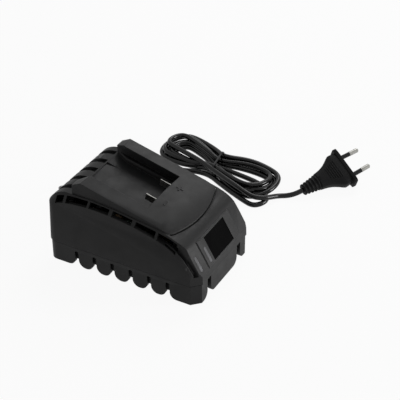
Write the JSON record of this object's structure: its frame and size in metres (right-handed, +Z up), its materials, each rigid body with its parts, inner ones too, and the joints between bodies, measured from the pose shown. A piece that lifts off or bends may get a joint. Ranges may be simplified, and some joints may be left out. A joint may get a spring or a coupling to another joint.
{
  "type": "power tool battery charger",
  "caption": "Slide-in battery charger: a low black case with a sloping battery pocket on top, a badge panel in front and a bundled mains cord with a two-pin plug.",
  "frame": {"origin": "centre of the ground contact under the case", "axes": "+X across to the side where the cord lies, -Y the front with the badge, +Y the rear where the cord leaves, +Z up"},
  "size_m": [0.2323, 0.22, 0.0759],
  "materials": {
    "housing_black": "fine spark-eroded texture, satin where handled",
    "tray_black": "fine spark-eroded texture",
    "badge_gloss": "smooth and glossy, bare",
    "lens_clear": "clear moulded lens",
    "contact_metal": "nickel plated spring sheet",
    "screw_steel": "zinc plated",
    "board_green": "solder mask over glass fibre",
    "ferrite": "sintered, matt",
    "tape_yellow": "wound polyester tape",
    "sleeve_blue": "shrunk sleeve",
    "capacitor_box": "moulded box",
    "coil_copper": "enamelled copper wire",
    "fuse_glass": "clear tube",
    "sink_aluminium": "extruded, bare",
    "package_black": "moulded epoxy",
    "lamp_white": "diffused lamp body",
    "wire_red": "soft insulation",
    "wire_blue": "soft insulation",
    "terminal_green": "moulded",
    "cord_black": "satin sheath",
    "tie_black": "coated wire strip",
    "plug_black": "satin, ribbed grip",
    "pin_nickel": "nickel plated brass",
    "sleeve_black": "insulating sleeve"
  },
  "bodies": {
    "root": {"badge_plate": "badge_gloss", "board_screws": "screw_steel", "bottom_housing": "tray_black", "bridge_rectifier": "package_black", "bulk_capacitor": "sleeve_blue", "choke_core": "ferrite", "choke_windings": "coil_copper", "circuit_board": "board_green", "clamp_screws": "screw_steel", "contact_blade_negative": "contact_metal", "contact_blade_positive": "contact_metal", "contact_block": "package_black", "contact_block_screws": "screw_steel", "control_chip": "package_black", "cord_clamp": "tray_black", "cord_grommet": "cord_black", "cord_hank": "cord_black", "device_screws": "screw_steel", "diode_heat_sink": "sink_aluminium", "fuse_clips": "contact_metal", "hank_tie": "tie_black", "heat_sink": "sink_aluminium", "housing_screws": "screw_steel", "indicator_board": "board_green", "indicator_leds": "lamp_white", "indicator_wires": "wire_red", "light_pipe_inner": "lens_clear", "light_pipe_outer": "lens_clear", "mains_cord_inlet": "cord_black", "mains_cord_lead": "cord_black", "mains_cord_tail": "cord_black", "mains_fuse": "fuse_glass", "mains_terminal": "terminal_green", "mains_wires": "wire_blue", "optocoupler": "package_black", "output_capacitors": "sleeve_blue", "output_diode": "package_black", "output_wires": "wire_red", "pin_sleeves": "sleeve_black", "plug_body": "plug_black", "plug_pins": "pin_nickel", "suppression_capacitor": "capacitor_box", "switching_transistor": "package_black", "top_housing": "housing_black", "transformer_core": "ferrite", "transformer_winding": "tape_yellow"}
  },
  "joints": []
}
